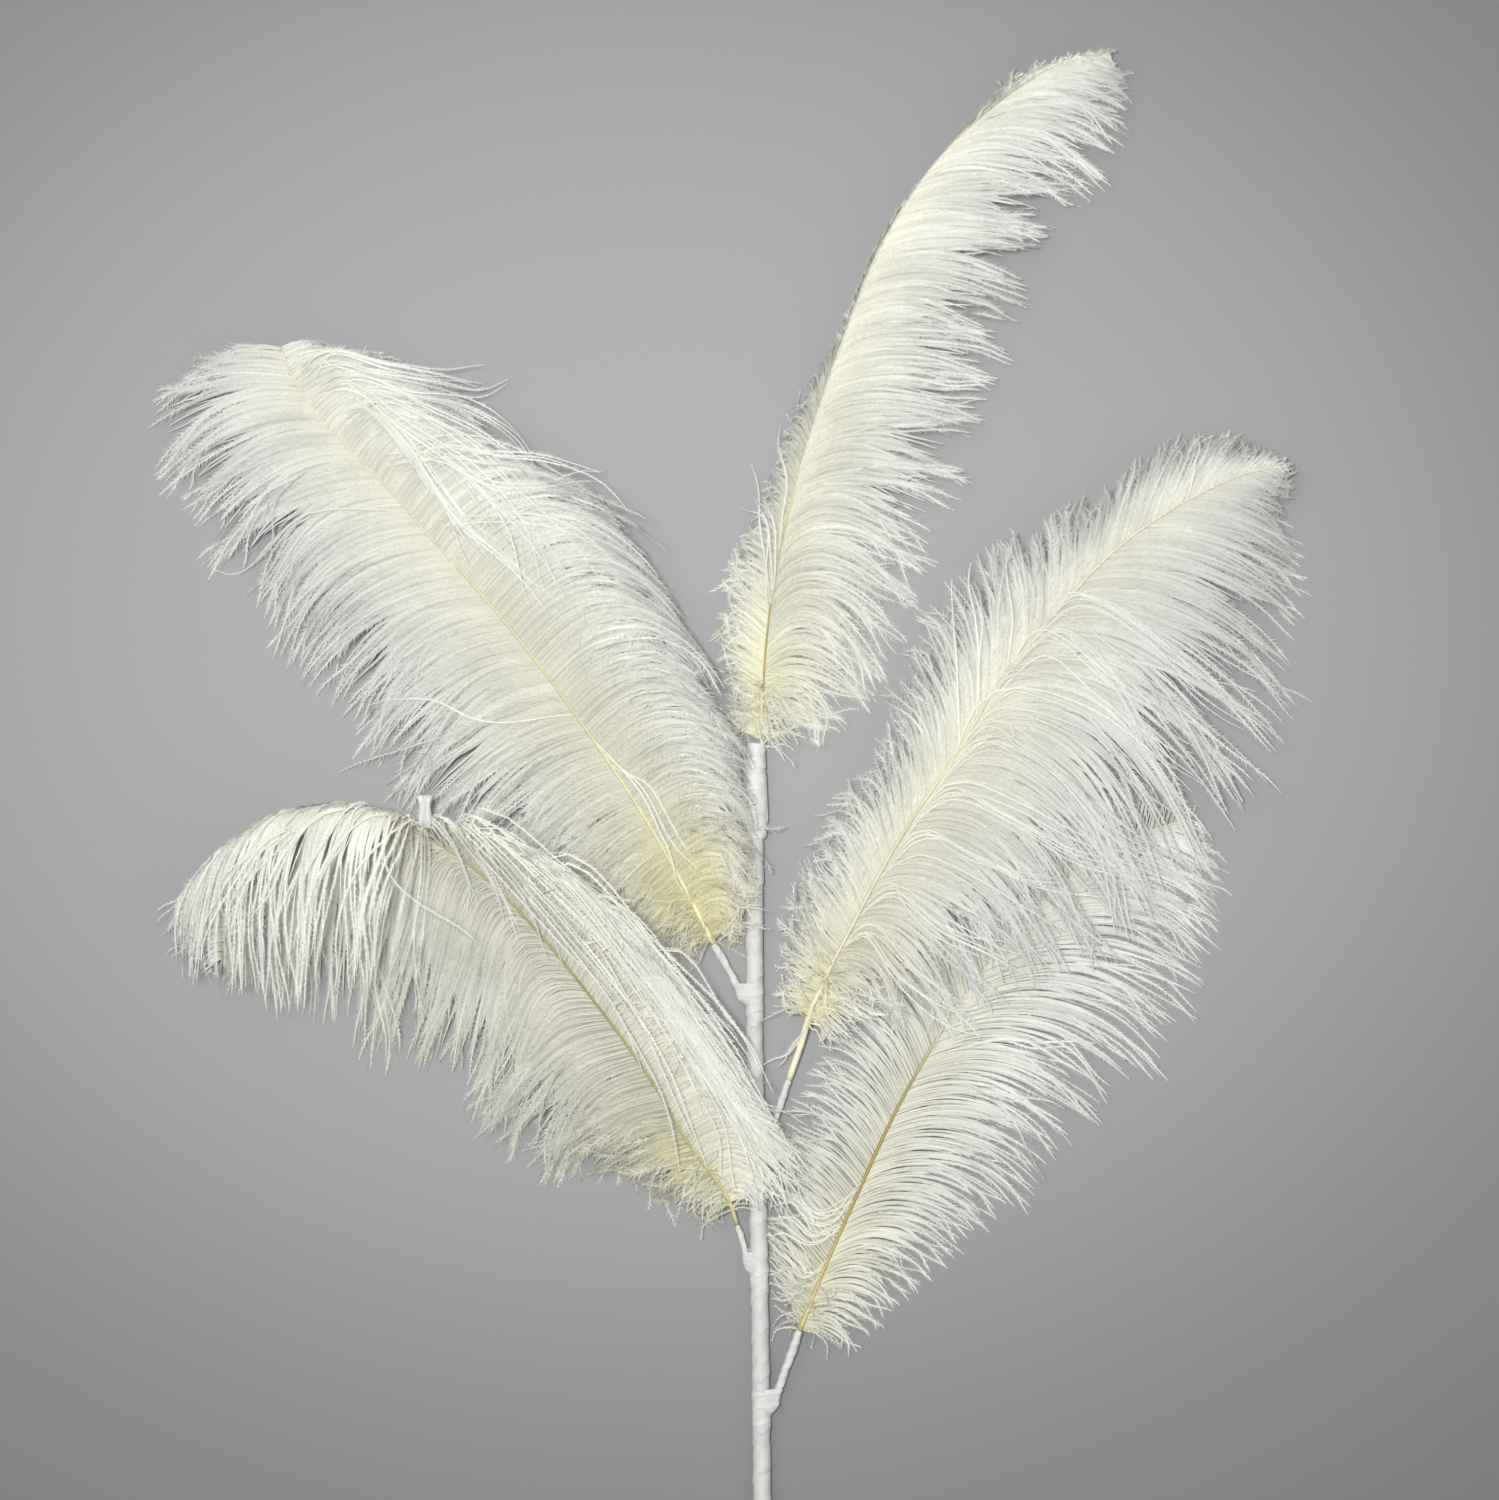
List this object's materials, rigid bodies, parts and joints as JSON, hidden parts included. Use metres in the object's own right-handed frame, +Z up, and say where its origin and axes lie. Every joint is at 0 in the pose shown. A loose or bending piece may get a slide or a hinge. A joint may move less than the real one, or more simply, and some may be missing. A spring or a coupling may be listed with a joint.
{
  "type": "ostrich feather spray",
  "caption": "Spray of cream ostrich feathers taped to a white paper-wrapped stem, lying on its back, for vases and floral displays.",
  "frame": {"origin": "centre of the lying spray's footprint, on the surface it rests on", "axes": "+Y up the stem towards the top feather's tip, +Z up from the surface, +X to the right of the stem"},
  "size_m": [0.5708, 0.8904, 0.0796],
  "materials": {
    "paper_tape": "white paper floral tape, soft and creased",
    "clear_tape": "frosted clear tape",
    "plume": "soft matt barbs, cream at the base and near white at the tips"
  },
  "bodies": {
    "root": {"stem": "paper_tape", "twig_upper_left": "paper_tape", "twig_upper_right": "paper_tape", "twig_lower_left": "paper_tape", "twig_lower_right": "paper_tape", "binding_upper_left": "paper_tape", "binding_upper_right": "paper_tape", "binding_lower_left": "paper_tape", "binding_lower_right": "paper_tape", "binding_top": "paper_tape", "tape_tab": "clear_tape", "feather_top": "plume", "feather_upper_left": "plume", "feather_lower_left": "plume", "feather_upper_right": "plume", "feather_lower_right": "plume"}
  },
  "joints": []
}
